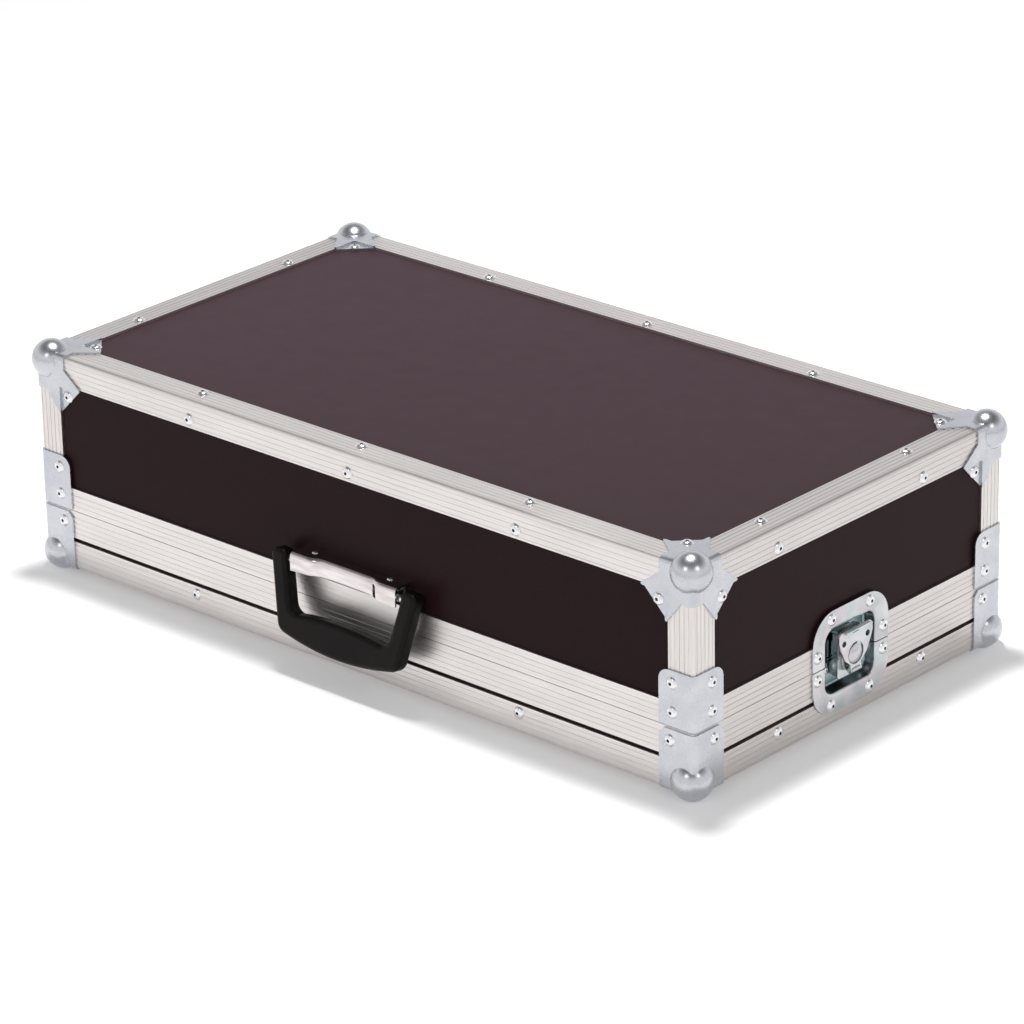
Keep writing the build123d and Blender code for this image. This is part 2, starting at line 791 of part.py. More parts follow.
def latch_spindle(end):
    """The turning spindle: collar, shaft, cam, rotor plate, domed head and hinge knuckle."""
    face = latch_plane(end)
    collar_top = boss_low_level - collar_gap
    cam_low = bridge_top_level + collar_gap
    rotor_low = hook_top_level + plate_gap
    axis_line = Plane(
        origin=face.from_local_coords((0, spindle_up, 0)), x_dir=face.x_dir, z_dir=-face.y_dir
    )
    dome_rise = dome_top_level - dome_shoulder_level
    dome_round = (dome_radius**2 + dome_rise**2) / (2 * dome_rise)
    half_way = asin(dome_radius / dome_round) / 2
    with BuildPart() as spindle:
        with BuildSketch(face.offset(collar_top)):
            with Locations((0, spindle_up)):
                Circle(collar_radius)
        extrude(amount=-sheet)
        with BuildSketch(face.offset(collar_top)):
            with Locations((0, spindle_up)):
                Circle(shaft_radius)
        extrude(amount=cam_low - collar_top)
        with BuildSketch(face.offset(cam_low)):
            with Locations((0, spindle_up - cam_throw)):
                Circle(cam_radius)
        extrude(amount=rotor_low - cam_low)
        with BuildSketch(face.offset(rotor_low)):
            with Locations((0, rotor_up)):
                Circle(rotor_radius)
        extrude(amount=rotor_top_level - rotor_low)
        with BuildSketch(axis_line):
            with BuildLine():
                Polyline(
                    (0, dome_top_level), (0, rotor_low), (dome_radius, rotor_low),
                    (dome_radius, dome_shoulder_level),
                )
                ThreePointArc(
                    (dome_radius, dome_shoulder_level),
                    (dome_round * sin(half_way), dome_top_level - dome_round * (1 - cos(half_way))),
                    (0, dome_top_level),
                )
            make_face()
        revolve(axis=Axis(axis_line.origin, face.z_dir))
        with BuildSketch(across_latch(face)):
            with Locations((wing_pin_up, wing_level)):
                Circle(knuckle_radius)
            with Locations((wing_pin_up, (rotor_top_level + wing_level) / 2)):
                Rectangle(2 * knuckle_radius, wing_level - rotor_top_level)
        extrude(amount=knuckle_half_width, both=True)
        with BuildSketch(across_latch(face)):
            with Locations((wing_pin_up, wing_level)):
                Circle(wing_pin_radius)
        extrude(amount=knuckle_half_width + ear_gap + ear_width, both=True)
    return spindle


def latch_hook(end):
    """The sliding hook: a slotted plate with two side flanges and a lip over the keeper."""
    face = latch_plane(end)
    run = hook_high - hook_low
    centre_up = (hook_high + hook_low) / 2
    slot_half_width = cam_radius + cam_throw + cam_clearance
    slot_half_height = cam_radius + cam_clearance
    with BuildPart() as hook:
        with BuildSketch(face.offset(hook_top_level)):
            with Locations((0, centre_up)):
                RectangleRounded(2 * hook_half_width, run, hook_corner_radius)
            with Locations((0, spindle_up - cam_throw)):
                Rectangle(2 * slot_half_width, 2 * slot_half_height, mode=Mode.SUBTRACT)
        extrude(amount=-sheet)
        with BuildSketch(face.offset(hook_top_level - sheet)):
            for hand in (-1, 1):
                with Locations((hand * (hook_half_width - sheet / 2), centre_up)):
                    Rectangle(sheet, run - 2 * hook_corner_radius)
        extrude(amount=hook_side_level - hook_top_level + sheet)
        with BuildSketch(face.offset(hook_top_level - sheet)):
            with Locations((0, hook_high - sheet / 2)):
                Rectangle(2 * (hook_half_width - hook_corner_radius), sheet)
        extrude(amount=hook_lip_level - hook_top_level + sheet)
    return hook


def latch_wing(end):
    """The shield-shaped wing round the domed head, hinged on the spindle at its foot."""
    face = latch_plane(end)
    mirrored = [(-x, y) for x, y in reversed(wing_outline)]
    eye_across, eye_up = wing_eye_at
    with BuildPart() as wing:
        with BuildSketch(face.offset(wing_level)) as plate:
            Polygon(*wing_outline, *mirrored, align=None)
            fillet(plate.vertices(), wing_outline_radius)
            with Locations((0, wing_hole_up)):
                Circle(wing_hole_radius, mode=Mode.SUBTRACT)
            with Locations((-eye_across, eye_up), (eye_across, eye_up)):
                Circle(wing_eye_radius, mode=Mode.SUBTRACT)
            with Locations((0, wing_slot_up)):
                SlotOverall(wing_slot_length, wing_slot_width, mode=Mode.SUBTRACT)
        extrude(amount=sheet)
        with BuildSketch(face.offset(wing_level + sheet)):
            with Locations((0, wing_top - sheet / 2)):
                Rectangle(2 * wing_lip_half_width, sheet)
        extrude(amount=wing_lip_height)
        for hand in (-1, 1):
            ear_at = hand * (knuckle_half_width + ear_gap + ear_width / 2)
            ear = across_latch(face).offset(ear_at)
            with BuildSketch(ear):
                with Locations((wing_pin_up, wing_level)):
                    Circle(knuckle_radius)
                with Locations((wing_pin_up, wing_level)):
                    Rectangle(2 * knuckle_radius + 2, sheet, align=(Align.MIN, Align.MIN))
            extrude(amount=ear_width / 2, both=True)
        with BuildSketch(across_latch(face)):
            with Locations((wing_pin_up, wing_level)):
                Circle(wing_pin_radius + bore_clearance)
        extrude(amount=wing_top, both=True, mode=Mode.SUBTRACT)
    return wing


for end in ends:
    keep(latch_dish(end, -1), f"latch_{end}_lower_dish")
    keep(latch_dish(end, 1), f"latch_{end}_upper_dish")
    keep(latch_bridge(end), f"latch_{end}_bridge")
    keep(latch_spindle(end), f"latch_{end}_spindle")
    keep(latch_hook(end), f"latch_{end}_hook")
    keep(latch_wing(end), f"latch_{end}_wing")
feet = [place for end in ends for place in foot_places(latch_plane(end))]
keep(small_rivets(feet, 2 * sheet), "latch_rivets")

# Carrying handle, seen from the front: x to the right of its own middle
front = side_plane("front")
handle_face = Plane(
    origin=front.from_local_coords((handle_right, pivot_z, 0)), x_dir=front.x_dir, z_dir=front.z_dir
)
pivot = handle_face.from_local_coords((0, 0, pivot_out))
grip_face = Plane(origin=pivot, x_dir=(1, 0, 0), z_dir=(0, -cos(tilt), sin(tilt)))


def down_face(level):
    """Looking down on the handle: x to the right, y outward, z down from a level."""
    origin = handle_face.from_local_coords((0, level, 0))
    return Plane(origin=origin, x_dir=(1, 0, 0), z_dir=-up)


with BuildPart() as handle_grip:
    side_lean = (grip_half_top - grip_half_bottom) / grip_side_drop
    tip_half = grip_half_top + side_lean * grip_above_pivot
    with BuildSketch(grip_face) as loop:
        with BuildLine():
            Polyline(
                (-grip_half_bottom, -grip_side_drop), (-tip_half, grip_above_pivot),
                (tip_half, grip_above_pivot), (grip_half_bottom, -grip_side_drop),
            )
            ThreePointArc(
                (grip_half_bottom, -grip_side_drop), (0, -grip_drop),
                (-grip_half_bottom, -grip_side_drop),
            )
        make_face()
        fillet(loop.vertices().sort_by(Axis.Y)[:2], grip_corner_radius)
        with BuildSketch(mode=Mode.PRIVATE) as opening:
            with BuildLine():
                Polyline(
                    (-opening_half_bottom, -opening_side_drop), (-opening_half_top, 0),
                    (-opening_half_top, 2 * grip_above_pivot), (opening_half_top, 2 * grip_above_pivot),
                    (opening_half_top, 0), (opening_half_bottom, -opening_side_drop),
                )
                ThreePointArc(
                    (opening_half_bottom, -opening_side_drop), (0, -opening_mid_drop),
                    (-opening_half_bottom, -opening_side_drop),
                )
            make_face()
            fillet(opening.vertices().sort_by(Axis.Y)[:2], opening_radius)
        add(opening.sketch, mode=Mode.SUBTRACT)
        fillet(loop.vertices().sort_by(Axis.Y)[-4:], grip_top_radius)
    extrude(amount=grip_thickness / 2, both=True)
    flat_faces = handle_grip.faces().filter_by(Axis(grip_face.origin, grip_face.z_dir))
    fillet(flat_faces.edges(), grip_edge_radius)
    with BuildSketch(handle_face.offset(heel_gap - profile_wall)):
        for hand in (-1, 1):
            with Locations((hand * (heel_inner + heel_outer) / 2, -(heel_from + heel_to) / 2)):
                Rectangle(heel_outer - heel_inner, heel_to - heel_from)
    extrude(amount=pivot_out + profile_wall - heel_gap - pivot_pin_radius)
    with BuildSketch(Plane(origin=pivot, x_dir=(0, 1, 0), z_dir=(1, 0, 0))):
        Circle(pivot_pin_radius)
    extrude(amount=pivot_pin_outer, both=True, mode=Mode.SUBTRACT)
keep(handle_grip, "handle_grip")

with BuildPart() as handle_pins:
    for hand in (-1, 1):
        with BuildSketch(Plane(origin=pivot, x_dir=(0, 1, 0), z_dir=(1, 0, 0)).offset(hand * pivot_pin_inner)):
            Circle(pivot_pin_radius)
        extrude(amount=hand * (pivot_pin_outer - pivot_pin_inner))
keep(handle_pins, "handle_pins")

with BuildPart() as handle_bracket:
    flange_up = cover_top_above_pivot - sheet
    with BuildSketch(handle_face.offset(-profile_wall)):
        with Locations((0, (flange_up - bracket_plate_drop) / 2)):
            Rectangle(2 * bracket_half_length, flange_up + bracket_plate_drop)
    extrude(amount=bracket_plate)
    with BuildSketch(handle_face.offset(-profile_wall)):
        with Locations((0, flange_up - bracket_plate / 2)):
            Rectangle(2 * bracket_half_length, bracket_plate)
    extrude(amount=bracket_flange_out + profile_wall)
    for hand in (-1, 1):
        ear = Plane(origin=pivot, x_dir=(0, -1, 0), z_dir=(-1, 0, 0)).offset(-hand * pivot_ear_at)
        with BuildSketch(ear):
            Circle(pivot_ear_radius)
            Rectangle(pivot_out + profile_wall, 2 * pivot_ear_radius, align=(Align.MAX, Align.CENTER))
            Circle(pivot_pin_radius + running_clearance, mode=Mode.SUBTRACT)
        extrude(amount=pivot_ear_thickness / 2, both=True)
    for hand in (-1, 1):
        with BuildSketch(down_face(flange_up)):
            with Locations((hand * cover_rivet_at, cover_rivet_out)):
                Circle(small_shank_radius + bore_clearance)
        extrude(amount=2 * bracket_plate, mode=Mode.SUBTRACT)
    drill(handle_bracket, lid_rivets)
keep(handle_bracket, "handle_bracket")


def cover_block(inset, back, half):
    """The cover as a solid block, its walls moved in by the inset."""
    end_from = cover_half_length - cover_end_length
    blend_mid = end_from - cover_blend_length / 2
    waist_from = end_from - cover_blend_length
    ends_out = cover_depth - inset
    waist_out = cover_waist_depth - inset
    with BuildPart() as block:
        with BuildSketch(down_face(cover_top_above_pivot - inset)):
            with BuildLine():
                Polyline((-end_from, ends_out), (-half, ends_out), (-half, back), (half, back))
                Polyline((half, back), (half, ends_out), (end_from, ends_out))
                Bezier(
                    (end_from, ends_out), (blend_mid, ends_out), (blend_mid, waist_out),
                    (waist_from, waist_out),
                )
                Line((waist_from, waist_out), (-waist_from, waist_out))
                Bezier(
                    (-waist_from, waist_out), (-blend_mid, waist_out), (-blend_mid, ends_out),
                    (-end_from, ends_out),
                )
            make_face()
        extrude(amount=cover_height)
        top_edges = block.faces().sort_by(Axis.Z)[-1].edges()
        fillet(top_edges.sort_by(Axis.Y)[:5], cover_edge_radius - inset)
    return block.part


with BuildPart() as handle_cover:
    add(cover_block(0, -profile_wall, cover_half_length))
    add(cover_block(sheet, -2 * profile_wall, cover_half_length + sheet), mode=Mode.SUBTRACT)
    cover_low = cover_top_above_pivot - cover_height
    with BuildSketch(handle_face):
        with BuildLine():
            Line((cover_half_length, cover_low), (-cover_half_length, cover_low))
            ThreePointArc(
                (-cover_half_length, cover_low), (0, cover_low + cover_arch),
                (cover_half_length, cover_low),
            )
        make_face()
    extrude(amount=2 * cover_depth, mode=Mode.SUBTRACT)
    for hand in (-1, 1):
        with BuildSketch(down_face(cover_top_above_pivot)):
            with Locations((hand * cover_rivet_at, cover_rivet_out)):
                Circle(small_shank_radius + bore_clearance)
        extrude(amount=2 * sheet, mode=Mode.SUBTRACT)
keep(handle_cover, "handle_cover")

cover_points = [
    handle_face.from_local_coords((hand * cover_rivet_at, cover_top_above_pivot, cover_rivet_out))
    for hand in (-1, 1)
]
cover_places = [Plane(origin=point, z_dir=(0, 0, 1)) for point in cover_points]
keep(small_rivets(cover_places, sheet + bracket_plate), "handle_rivets")


# Foam lining
def foam_ring(low, high):
    """Foam against the four sides, clear of the rims' inner legs."""
    with BuildPart() as ring:
        with BuildSketch(Plane(origin=middle + up * low)):
            Rectangle(case_length - 2 * foam_in, case_depth - 2 * foam_in)
            inner = foam_in + foam_wall
            Rectangle(case_length - 2 * inner, case_depth - 2 * inner, mode=Mode.SUBTRACT)
        extrude(amount=high - low)
    return ring


def foam_slab(low, high):
    """A foam pad inside the ring."""
    inner = foam_in + foam_wall
    with BuildPart() as slab:
        with BuildSketch(Plane(origin=middle + up * low)):
            Rectangle(case_length - 2 * inner, case_depth - 2 * inner)
        extrude(amount=high - low)
    return slab


floor_z = low_z + board_in
roof_z = top_z - board_in
keep(foam_ring(floor_z, seam_z - foam_rim_drop), "tray_wall_foam")
keep(foam_slab(floor_z, floor_z + tray_floor_foam), "tray_floor_foam")
keep(foam_ring(lid_low_z + foam_rim_drop, roof_z), "lid_wall_foam")
keep(foam_slab(roof_z - lid_roof_foam, roof_z), "lid_roof_foam")

keep(board_rivets(tray_rivets), "tray_rivets")
keep(board_rivets(lid_rivets), "lid_rivets")
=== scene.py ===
import bpy
import bmesh
import json
from math import cos, pi, radians, sin
from mathutils import Euler, Matrix, Vector


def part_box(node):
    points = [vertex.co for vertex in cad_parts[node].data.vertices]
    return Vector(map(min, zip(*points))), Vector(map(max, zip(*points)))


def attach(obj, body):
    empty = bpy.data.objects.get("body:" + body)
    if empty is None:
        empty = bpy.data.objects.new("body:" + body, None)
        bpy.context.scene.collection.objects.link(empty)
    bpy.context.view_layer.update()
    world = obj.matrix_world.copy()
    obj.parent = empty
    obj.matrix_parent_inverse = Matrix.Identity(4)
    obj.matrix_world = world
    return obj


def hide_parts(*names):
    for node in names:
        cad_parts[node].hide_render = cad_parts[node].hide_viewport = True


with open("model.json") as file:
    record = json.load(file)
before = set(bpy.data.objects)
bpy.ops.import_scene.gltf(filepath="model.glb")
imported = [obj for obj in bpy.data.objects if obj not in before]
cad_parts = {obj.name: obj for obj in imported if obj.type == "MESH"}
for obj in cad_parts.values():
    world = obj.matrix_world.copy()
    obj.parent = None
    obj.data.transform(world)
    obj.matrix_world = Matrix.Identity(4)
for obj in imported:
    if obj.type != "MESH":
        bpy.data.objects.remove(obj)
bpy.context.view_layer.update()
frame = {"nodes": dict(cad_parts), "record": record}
nodes = frame["nodes"]
scene = bpy.context.scene

# Lengths are in metres.
WHITE = (1, 1, 1, 1)

# Numbers of a Mix node's sockets when it blends colours
MIX_FACTOR, MIX_FIRST, MIX_SECOND, MIX_RESULT = 0, 6, 7, 2

# Depth in a latch's recess, as a distance from the middle of the case along its length, over which
# the zinc's painted shade runs from full to none
RECESS_DEEP = 0.2955
RECESS_FLUSH = 0.3005

FOAM_WALL = 0.010  # thickness of a strip along a wall
FOAM_SLIT = 0.0003  # gap between two strips at a corner
FOAM_BEVEL = 0.002
FOAM_BEVEL_STEPS = 3

# Mandrel stubs: radius and height, and the outline as shares of both, from the base up
BLIND_STUB = (0.00112, 0.0009)
SMALL_STUB = (0.00054, 0.0005)
STUB_OUTLINE = ((1.0, 0.02), (1.0, 0.7), (0.75, 0.92), (0.35, 1.0))
STUB_SIDES = 14
WELD = 1e-6  # points closer than this are joined before the rivets are told apart
RIM_SHARE = 0.98  # a rivet's points beyond this share of its radius are on the head's rim

FLOOR_REACH = 30.0
FLOOR_GREY = 0.8
FLOOR_GLOW = 0.2
SKY_LEVELS = ((0.0, 0.95), (0.35, 1.0), (0.6, 0.5), (0.8, 0.18))  # place on the ramp, brightness
SKY_BLUE = 1.02  # the sky's blue as a share of its brightness
LAMP_AIM = (0, 0, 0.1)


# Material helpers
def linear(r, g, b):
    """A colour as it looks on screen, from 0 to 255, as linear light."""
    values = [v / 255 for v in (r, g, b)]
    return tuple(v / 12.92 if v < 0.04045 else ((v + 0.055) / 1.055) ** 2.4 for v in values) + (1,)


def feed(tree, socket, value):
    """Link an output to a socket, or set the socket to a plain value."""
    if isinstance(value, bpy.types.NodeSocket):
        tree.links.new(value, socket)
    else:
        socket.default_value = value


def math_node(tree, operation, *values):
    """The result of a math node; each value is a number or an output."""
    node = tree.nodes.new("ShaderNodeMath")
    node.operation = operation
    for socket, value in zip(node.inputs, values):
        feed(tree, socket, value)
    return node.outputs[0]


def mix_node(tree, factor, first, second):
    """A colour between two others; each is a colour or an output."""
    node = tree.nodes.new("ShaderNodeMix")
    node.data_type = "RGBA"
    feed(tree, node.inputs[MIX_FACTOR], factor)
    feed(tree, node.inputs[MIX_FIRST], first)
    feed(tree, node.inputs[MIX_SECOND], second)
    return node.outputs[MIX_RESULT]


class Shader:
    """A material with one Principled shader, and short ways to add the nodes that feed it.

    Sockets are given by name, with _ for a space.
    """

    def __init__(self, name, colour, **sockets):
        self.material = bpy.data.materials.new(name)
        self.material.use_nodes = True
        self.tree = self.material.node_tree
        self.main = self.tree.nodes["Principled BSDF"]
        self.main.inputs["Base Color"].default_value = colour
        for socket, value in sockets.items():
            self.main.inputs[socket.replace("_", " ")].default_value = value
        self.coords = self.tree.nodes.new("ShaderNodeTexCoord").outputs["Object"]

    def link(self, source, target):
        self.tree.links.new(source, target)

    def stretched(self, scale):
        """The object's own coordinates, scaled apart along X, Y and Z."""
        mapping = self.tree.nodes.new("ShaderNodeMapping")
        mapping.inputs["Scale"].default_value = scale
        self.link(self.coords, mapping.inputs["Vector"])
        return mapping.outputs["Vector"]

    def noise(self, scale, detail, vector=None):
        """A cloudy value over the object's own coordinates, or over the ones given."""
        texture = self.tree.nodes.new("ShaderNodeTexNoise")
        texture.inputs["Scale"].default_value = scale
        texture.inputs["Detail"].default_value = detail
        self.link(vector or self.coords, texture.inputs["Vector"])
        return texture.outputs["Fac"]

    def depth_from_ends(self, deep, flush):
        """0 where a point lies deep in an end of the case, 1 where it is flush or further out. The
        zinc's painted shade in the recess follows it.
        """
        split = self.tree.nodes.new("ShaderNodeSeparateXYZ")
        self.link(self.coords, split.inputs[0])
        from_middle = math_node(self.tree, "ABSOLUTE", split.outputs["X"])
        return self.spread(from_middle, 0, 1, start=deep, stop=flush)

    def spread(self, value, low, high, start=0.35, stop=0.65):
        """A value taken from start and stop, which suit a noise, to low and high."""
        band = self.tree.nodes.new("ShaderNodeMapRange")
        limits = {"From Min": start, "From Max": stop, "To Min": low, "To Max": high}
        for socket, number in limits.items():
            band.inputs[socket].default_value = number
        self.link(value, band.inputs["Value"])
        return band.outputs["Result"]

    def blend(self, factor, first, second):
        return mix_node(self.tree, factor, first, second)

    def colour(self, source):
        self.link(source, self.main.inputs["Base Color"])

    def rough(self, source):
        self.link(source, self.main.inputs["Roughness"])

    def bump(self, height, strength, distance):
        """Raise the shading by a height texture; a second call adds to the first."""
        bump = self.tree.nodes.new("ShaderNodeBump")
        bump.inputs["Strength"].default_value = strength
        bump.inputs["Distance"].default_value = distance
        self.link(height, bump.inputs["Height"])
        normal = self.main.inputs["Normal"]
        if normal.links:
            self.link(normal.links[0].from_socket, bump.inputs["Normal"])
        self.link(bump.outputs["Normal"], normal)


# Materials
def laminate():
    """Dark brown-black phenolic face of the boards, smooth with a fine even grain."""
    s = Shader(
        "board_laminate",
        linear(26, 12, 11),
        Roughness=0.34,
        IOR=1.14,
        Sheen_Weight=0.22,
        Sheen_Tint=(1.0, 0.5, 0.76, 1),
        Sheen_Roughness=0.4,
    )
    s.colour(s.blend(s.spread(s.noise(900, 3), 0, 1), linear(25, 11, 10), linear(30, 15, 14)))
    s.rough(s.spread(s.noise(60, 4), 0.33, 0.37))
    s.bump(s.noise(2600, 2), strength=0.08, distance=0.00012)
    return s.material


def aluminium(name, along, tone):
    """Mill-finished aluminium with drawing lines along one axis; tone is its grey on screen, set
    lower for some axes as painted shade.
    """
    across = 60.0  # how much closer the texture is across the lines than along them
    drawn_scale = [1.0 if axis == along else across for axis in "XYZ"]
    s = Shader(name, linear(tone, tone - 5, tone - 8), Metallic=1.0, Roughness=0.34)
    drawn = s.stretched(drawn_scale)
    darker = linear(tone - 5, tone - 10, tone - 13)
    lighter = linear(tone + 5, tone, tone - 3)
    s.colour(s.blend(s.spread(s.noise(16, 3, drawn), 0, 1), darker, lighter))
    s.rough(s.spread(s.noise(9, 3), 0.3, 0.4))
    s.bump(s.noise(60, 2, drawn), strength=0.15, distance=0.00005)
    return s.material


def plated_steel(name, dark, light, low_rough, high_rough):
    """Galvanised or zinc-plated sheet with a cloudy tone and faint scratches, as a Shader."""
    s = Shader(name, light, Metallic=1.0, Roughness=low_rough)
    s.colour(s.blend(s.spread(s.noise(55, 4), 0, 1), dark, light))
    s.rough(s.spread(s.noise(120, 4), low_rough, high_rough))
    s.bump(s.noise(500, 3, s.stretched((1, 1, 7))), strength=0.04, distance=0.0001)
    return s


def corner_steel():
    """Galvanised steel of the pressed corners and brackets, slightly blue."""
    s = plated_steel("corner_steel", linear(188, 190, 196), linear(200, 201, 206), 0.24, 0.3)
    return s.material


def zinc():
    """Zinc plating with faint pink and green tints, and painted shade that turns it darker
    teal-grey down in the recess.
    """
    s = plated_steel("latch_zinc", linear(176, 178, 181), linear(206, 207, 209), 0.18, 0.27)
    plain = s.main.inputs["Base Color"].links[0].from_socket
    pink_places = s.spread(s.noise(45, 1), 0, 0.22, start=0.5, stop=0.7)
    pink = s.blend(pink_places, plain, linear(222, 190, 200))
    shifted = s.noise(38, 1, s.stretched((1.3, 0.9, 1.1)))
    green_places = s.spread(shifted, 0, 0.3, start=0.5, stop=0.7)
    tinted = s.blend(green_places, pink, linear(158, 196, 190))
    # Painted shade: the zinc turns darker teal-grey down in the latch's recess.
    depth_shade = s.depth_from_ends(RECESS_DEEP, RECESS_FLUSH)
    s.colour(s.blend(depth_shade, linear(128, 146, 150), tinted))
    return s.material


def chrome():
    """Bright chrome of the handle's cover, with faint streaks along its length."""
    s = Shader("cover_chrome", linear(222, 214, 214), Metallic=1.0, Roughness=0.07)
    streaks = s.noise(30, 2, s.stretched((0.8, 6, 6)))
    s.colour(s.blend(s.spread(streaks, 0, 1), linear(196, 184, 184), linear(228, 222, 222)))
    s.rough(s.spread(s.noise(90, 3), 0.05, 0.1))
    s.bump(s.noise(45, 2), strength=0.1, distance=0.0006)
    return s.material


def rivet_metal():
    """Bright metal of the rivets and the handle's pins."""
    s = Shader("rivet_metal", linear(228, 228, 230), Metallic=1.0, Roughness=0.24)
    s.rough(s.spread(s.noise(700, 2), 0.18, 0.32))
    s.bump(s.noise(900, 2), strength=0.1, distance=0.0001)
    return s.material


def mandrel_with_eye_shade():
    """Broken end of a mandrel, painted near-black as painted shade in the rivet's eye."""
    s = Shader("mandrel_eye_shade", linear(26, 25, 25), Metallic=0.6, Roughness=0.5)
    s.rough(s.spread(s.noise(1500, 2), 0.4, 0.6))
    return s.material


def plastic():
    """Satin black moulding with a fine leather-like grain."""
    s = Shader("handle_plastic", linear(18, 13, 12), Roughness=0.3, IOR=1.2)
    s.colour(s.blend(s.spread(s.noise(60, 3), 0, 1), linear(14, 10, 9), linear(21, 16, 14)))
    s.rough(s.spread(s.noise(150, 3), 0.32, 0.44))
    s.bump(s.noise(1400, 3), strength=0.12, distance=0.0002)
    return s.material


def foam_material():
    """Dark grey open-cell foam, with painted shade that darkens it with the depth of its cells."""
    s = Shader("foam_cells", linear(52, 52, 55), Roughness=0.95)
    texture = s.tree.nodes.new("ShaderNodeTexVoronoi")
    texture.inputs["Scale"].default_value = 900
    s.link(s.coords, texture.inputs["Vector"])
    cells = texture.outputs["Distance"]
    # Painted shade: the foam turns darker as the cell distance, taken as depth, grows.
    depth_shade = s.spread(cells, 0, 1, start=0.1, stop=0.7)
    s.colour(s.blend(depth_shade, linear(66, 66, 70), linear(38, 38, 41)))
    s.bump(cells, strength=0.5, distance=0.0006)
    s.bump(s.noise(60, 2), strength=0.15, distance=0.001)
    return s.material


finishes = {
    "board": laminate(),
    # The tones hold painted shade: the profiles along Y, on the ends of the case, are painted
    # darker than those along X, and the uprights a little darker.
    "profile_x": aluminium("profile_along_x", "X", 220),
    "profile_y": aluminium("profile_along_y", "Y", 206),
    "profile_z": aluminium("profile_along_z", "Z", 216),
    "corner_steel": corner_steel(),
    "zinc_steel": zinc(),
    "chrome_steel": chrome(),
    "rivet_steel": rivet_metal(),
    "handle_plastic": plastic(),
    "foam": foam_material(),
}
# The mandrels' near-black colour is painted shade in the rivets' eyes.
mandrel = mandrel_with_eye_shade()
slots = {entry["node"]: entry["material_slot"] for entry in frame["record"]["subparts"]}


def finish_of(name):
    """The material of a CAD node, with a profile's drawing lines along its own length."""
    slot = slots[name]
    if slot != "profile":
        return finishes[slot]
    if name == "lid_uprights":
        return finishes["profile_z"]
    return finishes["profile_x" if ("front" in name or "rear" in name) else "profile_y"]


for name, piece in nodes.items():
    piece.data.materials.clear()
    piece.data.materials.append(finish_of(name))


def new_piece(name, mesh, material, body):
    """A finished mesh, shaded smooth, as a piece of the object that rides on a body."""
    for face in mesh.faces:
        face.smooth = True
    data = bpy.data.meshes.new(name)
    mesh.to_mesh(data)
    mesh.free()
    data.materials.append(material)
    piece = bpy.data.objects.new(name, data)
    scene.collection.objects.link(piece)
    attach(piece, body)
    return piece


# Foam lining: cut strips and pads
def foam_box(mesh, low, high):
    """Add one block of foam to a mesh, and bevel the edges at the mesh's last eight points.

    Those are the block's own points only for the first block of a mesh. A later block gets the
    places that the bevel left free at the start, so it stays sharp and the first block is
    bevelled again at one corner. That is a known fault of the two wall linings.
    """
    size = Vector(high) - Vector(low)
    centre = (Vector(high) + Vector(low)) / 2
    place = Matrix.Translation(centre) @ Matrix.Diagonal((*size, 1))
    start = len(mesh.verts)
    bmesh.ops.create_cube(mesh, size=1.0, matrix=place)
    mesh.verts.ensure_lookup_table()
    edges = list({edge for vert in mesh.verts[start:] for edge in vert.link_edges})
    bmesh.ops.bevel(
        mesh, geom=edges, offset=FOAM_BEVEL, segments=FOAM_BEVEL_STEPS, profile=0.5, affect="EDGES"
    )


def lining(name, blocks, body, node):
    """Blocks of foam as one piece that stands for a CAD node."""
    mesh = bmesh.new()
    for low, high in blocks:
        foam_box(mesh, low, high)
    piece = new_piece(name, mesh, finishes["foam"], body)
    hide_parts(node)


def strips(node):
    """The four strips of a foam ring, butted at the corners."""
    (x0, y0, z0), (x1, y1, z1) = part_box(node)
    side_start = y0 + FOAM_WALL + FOAM_SLIT
    side_end = y1 - FOAM_WALL - FOAM_SLIT
    return [
        ((x0, y0, z0), (x1, y0 + FOAM_WALL, z1)),
        ((x0, y1 - FOAM_WALL, z0), (x1, y1, z1)),
        ((x0, side_start, z0), (x0 + FOAM_WALL, side_end, z1)),
        ((x1 - FOAM_WALL, side_start, z0), (x1, side_end, z1)),
    ]


lining("tray_wall_lining", strips("tray_wall_foam"), "tray", "tray_wall_foam")
lining("lid_wall_lining", strips("lid_wall_foam"), "lid", "lid_wall_foam")
lining("tray_floor_pad", [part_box("tray_floor_foam")], "tray", "tray_floor_foam")
lining("lid_roof_pad", [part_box("lid_roof_foam")], "lid", "lid_roof_foam")


# The broken mandrel that shows in the eye of each rivet, near-black as painted shade in the eye
def islands(data):
    """The separate solids of a mesh, each as a list of points."""
    mesh = bmesh.new()
    mesh.from_mesh(data)
    bmesh.ops.remove_doubles(mesh, verts=mesh.verts, dist=WELD)
    seen = set()
    found = []
    for first in mesh.verts:
        if first in seen:
            continue
        seen.add(first)
        stack = [first]
        points = []
        while stack:
            vert = stack.pop()
            points.append(vert.co.copy())
            for edge in vert.link_edges:
                other = edge.other_vert(vert)
                if other not in seen:
                    seen.add(other)
                    stack.append(other)
        found.append(points)
    mesh.free()
    return found


def along_axis(axis, value):
    """A vector with one value along an axis and 0 along the others."""
    return Vector([value if n == axis else 0 for n in range(3)])


def rivet_seat(points):
    """The middle of the widest ring of a rivet's head, and the way the head faces."""
    low = [min(p[i] for p in points) for i in range(3)]
    high = [max(p[i] for p in points) for i in range(3)]
    centre = Vector([(a + b) / 2 for a, b in zip(low, high)])

    def unevenness(i):
        """How far the solid is from round about axis i: the difference of its other two sizes."""
        j, k = [n for n in range(3) if n != i]
        return abs((high[j] - low[j]) - (high[k] - low[k]))

    axis = min(range(3), key=unevenness)
    offsets = [p - centre for p in points]
    radii = [(offset - along_axis(axis, offset[axis])).length for offset in offsets]
    widest = max(radii)
    rim = [p[axis] for p, r in zip(points, radii) if r > RIM_SHARE * widest]
    level = sum(rim) / len(rim)
    seat = centre.copy()
    seat[axis] = level
    return seat, along_axis(axis, 1 if level > centre[axis] else -1)


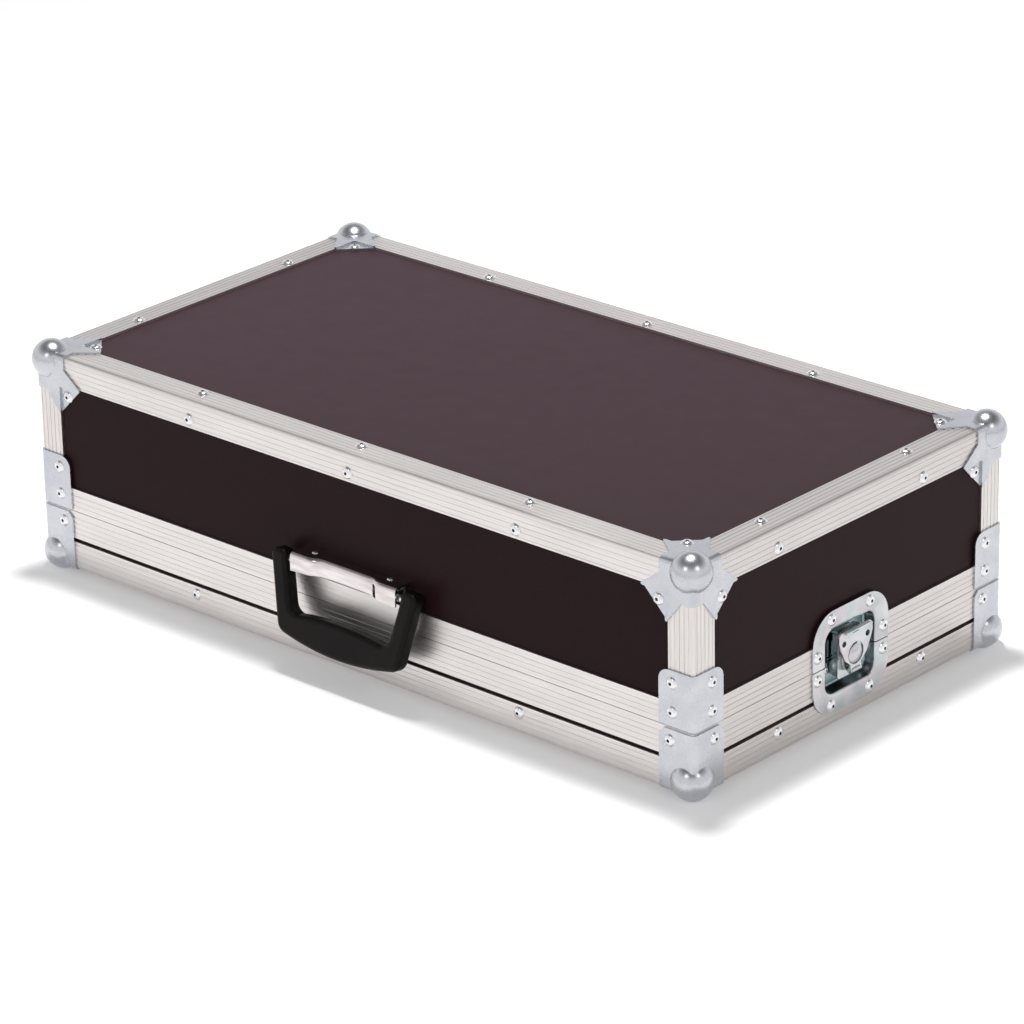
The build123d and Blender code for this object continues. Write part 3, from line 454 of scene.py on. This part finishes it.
def stubs(name, node, size, body):
    """A domed stub of mandrel, of one radius and height, in the eye of every rivet of a node, dark
    as painted shade in the eye.
    """
    radius, height = size
    mesh = bmesh.new()
    for points in islands(nodes[node].data):
        seat, facing = rivet_seat(points)
        turn = facing.to_track_quat("Z", "Y").to_matrix().to_4x4()
        place = Matrix.Translation(seat) @ turn
        rings = []
        for share, rise in STUB_OUTLINE:
            ring = []
            for i in range(STUB_SIDES):
                angle = 2 * pi * i / STUB_SIDES
                x, y = radius * share * cos(angle), radius * share * sin(angle)
                ring.append(mesh.verts.new(place @ Vector((x, y, height * rise))))
            rings.append(ring)
        for lower, upper in zip(rings, rings[1:]):
            for i in range(STUB_SIDES):
                j = (i + 1) % STUB_SIDES
                mesh.faces.new((lower[i], lower[j], upper[j], upper[i]))
        mesh.faces.new(rings[-1])
        mesh.faces.new(list(reversed(rings[0])))
    new_piece(name, mesh, mandrel, body)


stubs("lid_mandrel_stubs", "lid_rivets", BLIND_STUB, "lid")
stubs("tray_mandrel_stubs", "tray_rivets", BLIND_STUB, "tray")
stubs("handle_mandrel_stubs", "handle_rivets", SMALL_STUB, "lid")
stubs("latch_mandrel_stubs", "latch_rivets", SMALL_STUB, "tray")

# Floor
r = FLOOR_REACH
floor_mesh = bpy.data.meshes.new("floor")
floor_mesh.from_pydata([(-r, -r, 0), (r, -r, 0), (r, r, 0), (-r, r, 0)], [], [(0, 1, 2, 3)])
floor = bpy.data.objects.new("floor", floor_mesh)
scene.collection.objects.link(floor)

# Its paint glows where the camera sees it, straight or through a glossy or clear surface.
# The light that reaches the case by other rays has none of that glow.
floor_paint = bpy.data.materials.new("floor_paint")
floor_paint.use_nodes = True
tree = floor_paint.node_tree
paint = tree.nodes["Principled BSDF"]
paint.inputs["Base Color"].default_value = (FLOOR_GREY, FLOOR_GREY, FLOOR_GREY, 1)
paint.inputs["Roughness"].default_value = 1.0
paint.inputs["Specular IOR Level"].default_value = 0.0
rays = tree.nodes.new("ShaderNodeLightPath").outputs
seen = math_node(tree, "MAXIMUM", rays["Is Camera Ray"], rays["Is Glossy Ray"])
seen = math_node(tree, "MAXIMUM", seen, rays["Is Transmission Ray"])
paint.inputs["Emission Color"].default_value = WHITE
feed(tree, paint.inputs["Emission Strength"], math_node(tree, "MULTIPLY", seen, FLOOR_GLOW))
floor_mesh.materials.append(floor_paint)

# Surroundings: white where the camera looks, a room with a darker ceiling for the light
world = bpy.data.worlds.new("studio")
scene.world = world
world.use_nodes = True
tree = world.node_tree
backdrop = tree.nodes["Background"]
direction = tree.nodes.new("ShaderNodeTexCoord").outputs["Generated"]
split = tree.nodes.new("ShaderNodeSeparateXYZ")
feed(tree, split.inputs[0], direction)
ramp = tree.nodes.new("ShaderNodeValToRGB")
levels = ramp.color_ramp.elements
for place, level in SKY_LEVELS:
    levels.new(place).color = (level, level, SKY_BLUE * level, 1)
# The ramp's own first and last elements
levels.remove(levels[0])
levels.remove(levels[-1])
feed(tree, ramp.inputs[0], split.outputs["Z"])
camera_ray = tree.nodes.new("ShaderNodeLightPath").outputs["Is Camera Ray"]
feed(tree, backdrop.inputs["Color"], mix_node(tree, camera_ray, ramp.outputs["Color"], WHITE))
backdrop.inputs["Strength"].default_value = 1.0


def softbox(name, place, side, power):
    """A square area lamp aimed at the case."""
    lamp = bpy.data.lights.new(name, "AREA")
    lamp.shape = "RECTANGLE"
    lamp.size = lamp.size_y = side
    lamp.energy = power
    holder = bpy.data.objects.new(name, lamp)
    holder.location = place
    aim = Vector(LAMP_AIM) - Vector(place)
    holder.rotation_euler = aim.to_track_quat("-Z", "Y").to_euler()
    scene.collection.objects.link(holder)


softbox("overhead", (-0.19, 0.22, 2.6), 0.34, 56)
softbox("streak_left", (0.3, -2.8, 2.1), 0.7, 6)
softbox("streak_right", (2.7, -0.6, 2.1), 0.7, 6)

# Camera, as fitted to the case's straight edges
camera_data = bpy.data.cameras.new("camera")
camera_data.sensor_width = 36.0
camera_data.lens = 174.15
camera = bpy.data.objects.new("camera", camera_data)
camera.location = (2.15353, -2.3457, 1.43107)
camera.rotation_euler = Euler((radians(66.895), radians(1.106), radians(41.970)), "XYZ")
scene.collection.objects.link(camera)
scene.camera = camera
scene.view_settings.view_transform = "Standard"
